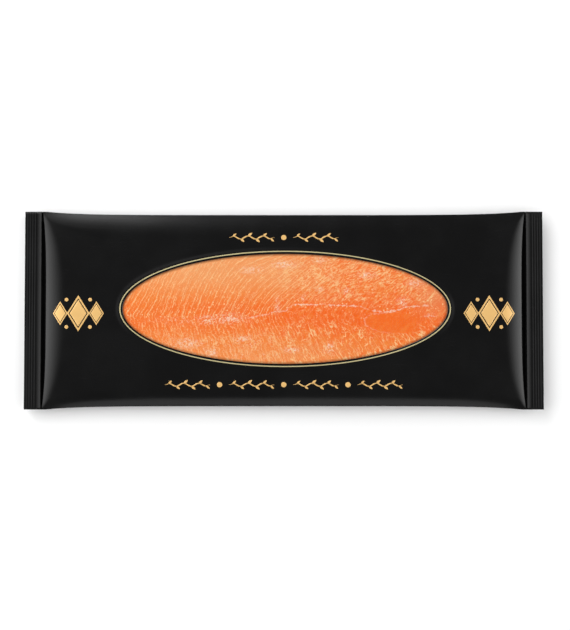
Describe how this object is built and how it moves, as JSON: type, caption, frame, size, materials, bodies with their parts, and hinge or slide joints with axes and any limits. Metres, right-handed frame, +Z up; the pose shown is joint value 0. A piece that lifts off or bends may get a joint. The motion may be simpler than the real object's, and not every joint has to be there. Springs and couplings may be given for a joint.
{
  "type": "pack of smoked salmon",
  "caption": "Flat black film pack of smoked salmon, crimped shut at both ends, with a clear oval window that shows the fish.",
  "frame": {"origin": "on the table under the middle of the pack, which lies on its back with the window up", "axes": "+X along the pack towards the right-hand end seal in the picture, +Y across it towards the picture's top, +Z up through the window"},
  "size_m": [0.39, 0.149, 0.012],
  "materials": {
    "black_film": "satin black printed film with pale gold print",
    "clear_film": "clear glossy film",
    "smoked_salmon": "moist orange fish with pale fat lines"
  },
  "bodies": {
    "root": {"wrapper": "black_film", "window": "clear_film", "salmon": "smoked_salmon"}
  },
  "joints": []
}
